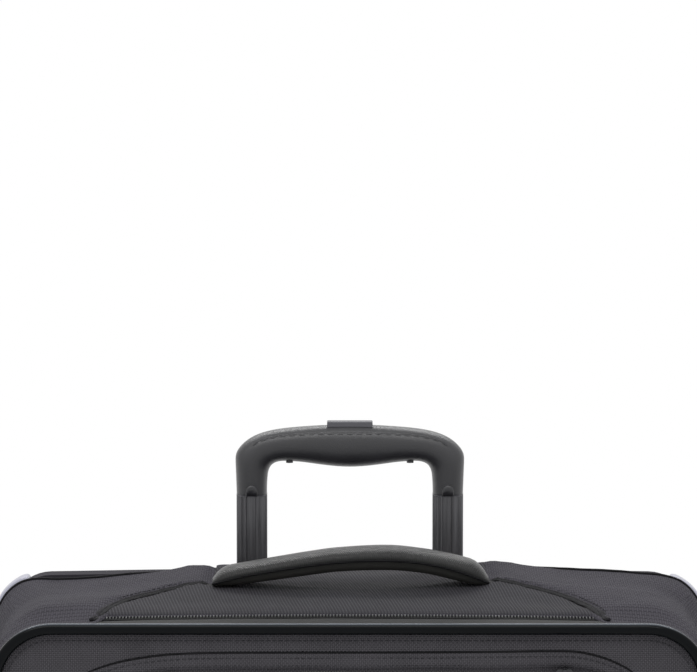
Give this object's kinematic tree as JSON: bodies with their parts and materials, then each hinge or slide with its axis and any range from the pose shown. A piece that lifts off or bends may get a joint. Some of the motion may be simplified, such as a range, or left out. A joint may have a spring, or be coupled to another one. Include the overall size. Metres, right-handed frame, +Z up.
{
  "type": "softside upright suitcase",
  "caption": "Upright softside suitcase with front lid on a zipper, front pockets, padded carry handles, telescopic push-button tow handle and rear wheels.",
  "frame": {"origin": "on the floor under the middle of the suitcase's bounding box", "axes": "+Z up, -Y the front with the pockets, +X the right side seen from the front"},
  "size_m": [0.5355, 0.29, 0.8108],
  "materials": {
    "ballistic_fabric": "woven nylon, matt",
    "panel_fabric": "diagonal weave nylon",
    "frame_plastic": "moulded, fine texture",
    "lining_fabric": "thin woven polyester",
    "hoop_steel": "spring steel wire",
    "zip_nylon": "coil zipper",
    "piping_gloss": "extruded vinyl welt",
    "seam_piping": "covered cord",
    "tray_plastic": "moulded",
    "foot_rubber": "hard rubber",
    "tyre_rubber": "polyurethane",
    "hub_plastic": "moulded",
    "bearing_steel": "turned",
    "tube_aluminium": "dark anodised",
    "grip_leather": "smooth synthetic leather",
    "button_plastic": "moulded",
    "inner_plastic": "acetal",
    "spring_steel": "wire",
    "slider_metal": "black enamel",
    "strap_webbing": "webbing and moulded buckle",
    "patch_rubber": "soft moulded",
    "handle_leather": "ribbed synthetic leather",
    "screw_steel": "blackened"
  },
  "bodies": {
    "case": {"gusset": "ballistic_fabric", "rear_frame": "frame_plastic", "back_panel": "ballistic_fabric", "lining": "lining_fabric", "front_hoop": "hoop_steel", "zip_chain_body": "zip_nylon", "case_piping": "seam_piping", "arch_piping": "seam_piping", "bottom_tray": "tray_plastic", "front_feet": "foot_rubber", "bottom_grab_bar": "tray_plastic", "skid_rails": "tray_plastic", "corner_guards": "frame_plastic", "side_studs": "tray_plastic", "wheel_housing_left": "frame_plastic", "wheel_housing_right": "frame_plastic", "axles": "bearing_steel", "outer_tubes": "tube_aluminium", "tube_bezel": "frame_plastic", "tube_foot": "frame_plastic", "tube_shroud": "frame_plastic", "housing_screws": "screw_steel", "handle_anchors": "strap_webbing", "packing_straps": "strap_webbing"},
    "lid": {"lid_gusset": "ballistic_fabric", "lid_panel": "ballistic_fabric", "lid_lining": "lining_fabric", "zip_chain_lid": "zip_nylon", "lid_piping": "piping_gloss", "upper_pocket": "ballistic_fabric", "lower_pocket": "ballistic_fabric", "pocket_flaps": "panel_fabric", "pocket_chains": "zip_nylon", "front_patch": "patch_rubber"},
    "trolley": {"grip_front_shell": "grip_leather", "grip_back_shell": "grip_leather", "grip_fittings": "inner_plastic", "tube_carriers": "inner_plastic", "inner_tubes": "tube_aluminium", "button_spring": "spring_steel"},
    "button": {"release_button": "button_plastic", "push_rods": "inner_plastic"},
    "pin_left": {"lock_pin_left": "bearing_steel"},
    "pin_right": {"lock_pin_right": "bearing_steel"},
    "top_handle": {"top_handle_pad": "handle_leather"},
    "side_handle": {"side_handle_pad": "handle_leather"},
    "wheel_left": {"tyre_left": "tyre_rubber", "wheel_hub_left": "hub_plastic", "wheel_bearings_left": "bearing_steel"},
    "wheel_right": {"tyre_right": "tyre_rubber", "wheel_hub_right": "hub_plastic", "wheel_bearings_right": "bearing_steel"},
    "zip_slider_upper": {"main_slider_upper": "slider_metal"},
    "zip_slider_lower": {"main_slider_lower": "slider_metal"},
    "zip_pull_upper": {"main_pull_upper": "slider_metal"},
    "zip_pull_lower": {"main_pull_lower": "slider_metal"},
    "pocket_slider_upper": {"upper_pocket_slider": "slider_metal"},
    "pocket_slider_lower": {"lower_pocket_slider": "slider_metal"},
    "pocket_pull_upper": {"upper_pocket_pull": "slider_metal"},
    "pocket_pull_lower": {"lower_pocket_pull": "slider_metal"}
  },
  "joints": [
    {"name": "lid_hinge", "type": "hinge", "parent": "case", "child": "lid", "pos_m": [0, -0.084, 0.046], "axis": [1, 0, 0], "range_deg": [0, 110]},
    {"name": "trolley_slide", "type": "slide", "parent": "case", "child": "trolley", "axis": [0, 0, 1], "range_m": [-0.0508, 0.3048]},
    {"name": "button_press", "type": "slide", "parent": "trolley", "child": "button", "axis": [0, 0, -1], "range_m": [0, 0.004], "stiffness_N_per_m": 1500, "springref_m": -0.002, "deforming": ["button_spring"]},
    {"name": "pin_left_slide", "type": "slide", "parent": "trolley", "child": "pin_left", "axis": [-1, 0, 0], "range_m": [0, 0.003]},
    {"name": "pin_right_slide", "type": "slide", "parent": "trolley", "child": "pin_right", "axis": [1, 0, 0], "range_m": [0, 0.003]},
    {"name": "wheel_left_spin", "type": "hinge", "parent": "case", "child": "wheel_left", "pos_m": [-0.212, 0.108, 0.036], "axis": [1, 0, 0], "continuous": true},
    {"name": "wheel_right_spin", "type": "hinge", "parent": "case", "child": "wheel_right", "pos_m": [0.212, 0.108, 0.036], "axis": [1, 0, 0], "continuous": true},
    {"name": "top_handle_lift", "type": "slide", "parent": "case", "child": "top_handle", "axis": [0, 0, 1], "range_m": [0, 0.006]},
    {"name": "side_handle_lift", "type": "slide", "parent": "case", "child": "side_handle", "axis": [1, 0, 0], "range_m": [0, 0.006], "stiffness_N_per_m": 200, "springref_m": -0.004},
    {"name": "zip_upper_run", "type": "slide", "parent": "case", "child": "zip_slider_upper", "axis": [0, 0, 1], "range_m": [0, 0.3]},
    {"name": "zip_lower_run", "type": "slide", "parent": "case", "child": "zip_slider_lower", "axis": [0, 0, 1], "range_m": [-0.175, 0]},
    {"name": "zip_upper_pull_swing", "type": "hinge", "parent": "zip_slider_upper", "child": "zip_pull_upper", "pos_m": [0.259, -0.084, 0.33], "axis": [0, -1, 0], "range_deg": [0, 170]},
    {"name": "zip_lower_pull_swing", "type": "hinge", "parent": "zip_slider_lower", "child": "zip_pull_lower", "pos_m": [0.259, -0.084, 0.274], "axis": [0, -1, 0], "range_deg": [0, 170]},
    {"name": "pocket_upper_run", "type": "slide", "parent": "lid", "child": "pocket_slider_upper", "axis": [-1, 0, 0], "range_m": [0, 0.32]},
    {"name": "pocket_lower_run", "type": "slide", "parent": "lid", "child": "pocket_slider_lower", "axis": [-1, 0, 0], "range_m": [0, 0.32]},
    {"name": "pocket_upper_pull_swing", "type": "hinge", "parent": "pocket_slider_upper", "child": "pocket_pull_upper", "pos_m": [0.15, -0.14015, 0.665], "axis": [-1, 0, 0], "range_deg": [0, 170]},
    {"name": "pocket_lower_pull_swing", "type": "hinge", "parent": "pocket_slider_lower", "child": "pocket_pull_lower", "pos_m": [0.15, -0.14415, 0.358], "axis": [-1, 0, 0], "range_deg": [0, 170]}
  ],
  "couplings": [
    {"joint": "pin_left_slide", "follows": "button_press", "ratio": 0.75},
    {"joint": "pin_right_slide", "follows": "button_press", "ratio": 0.75}
  ]
}
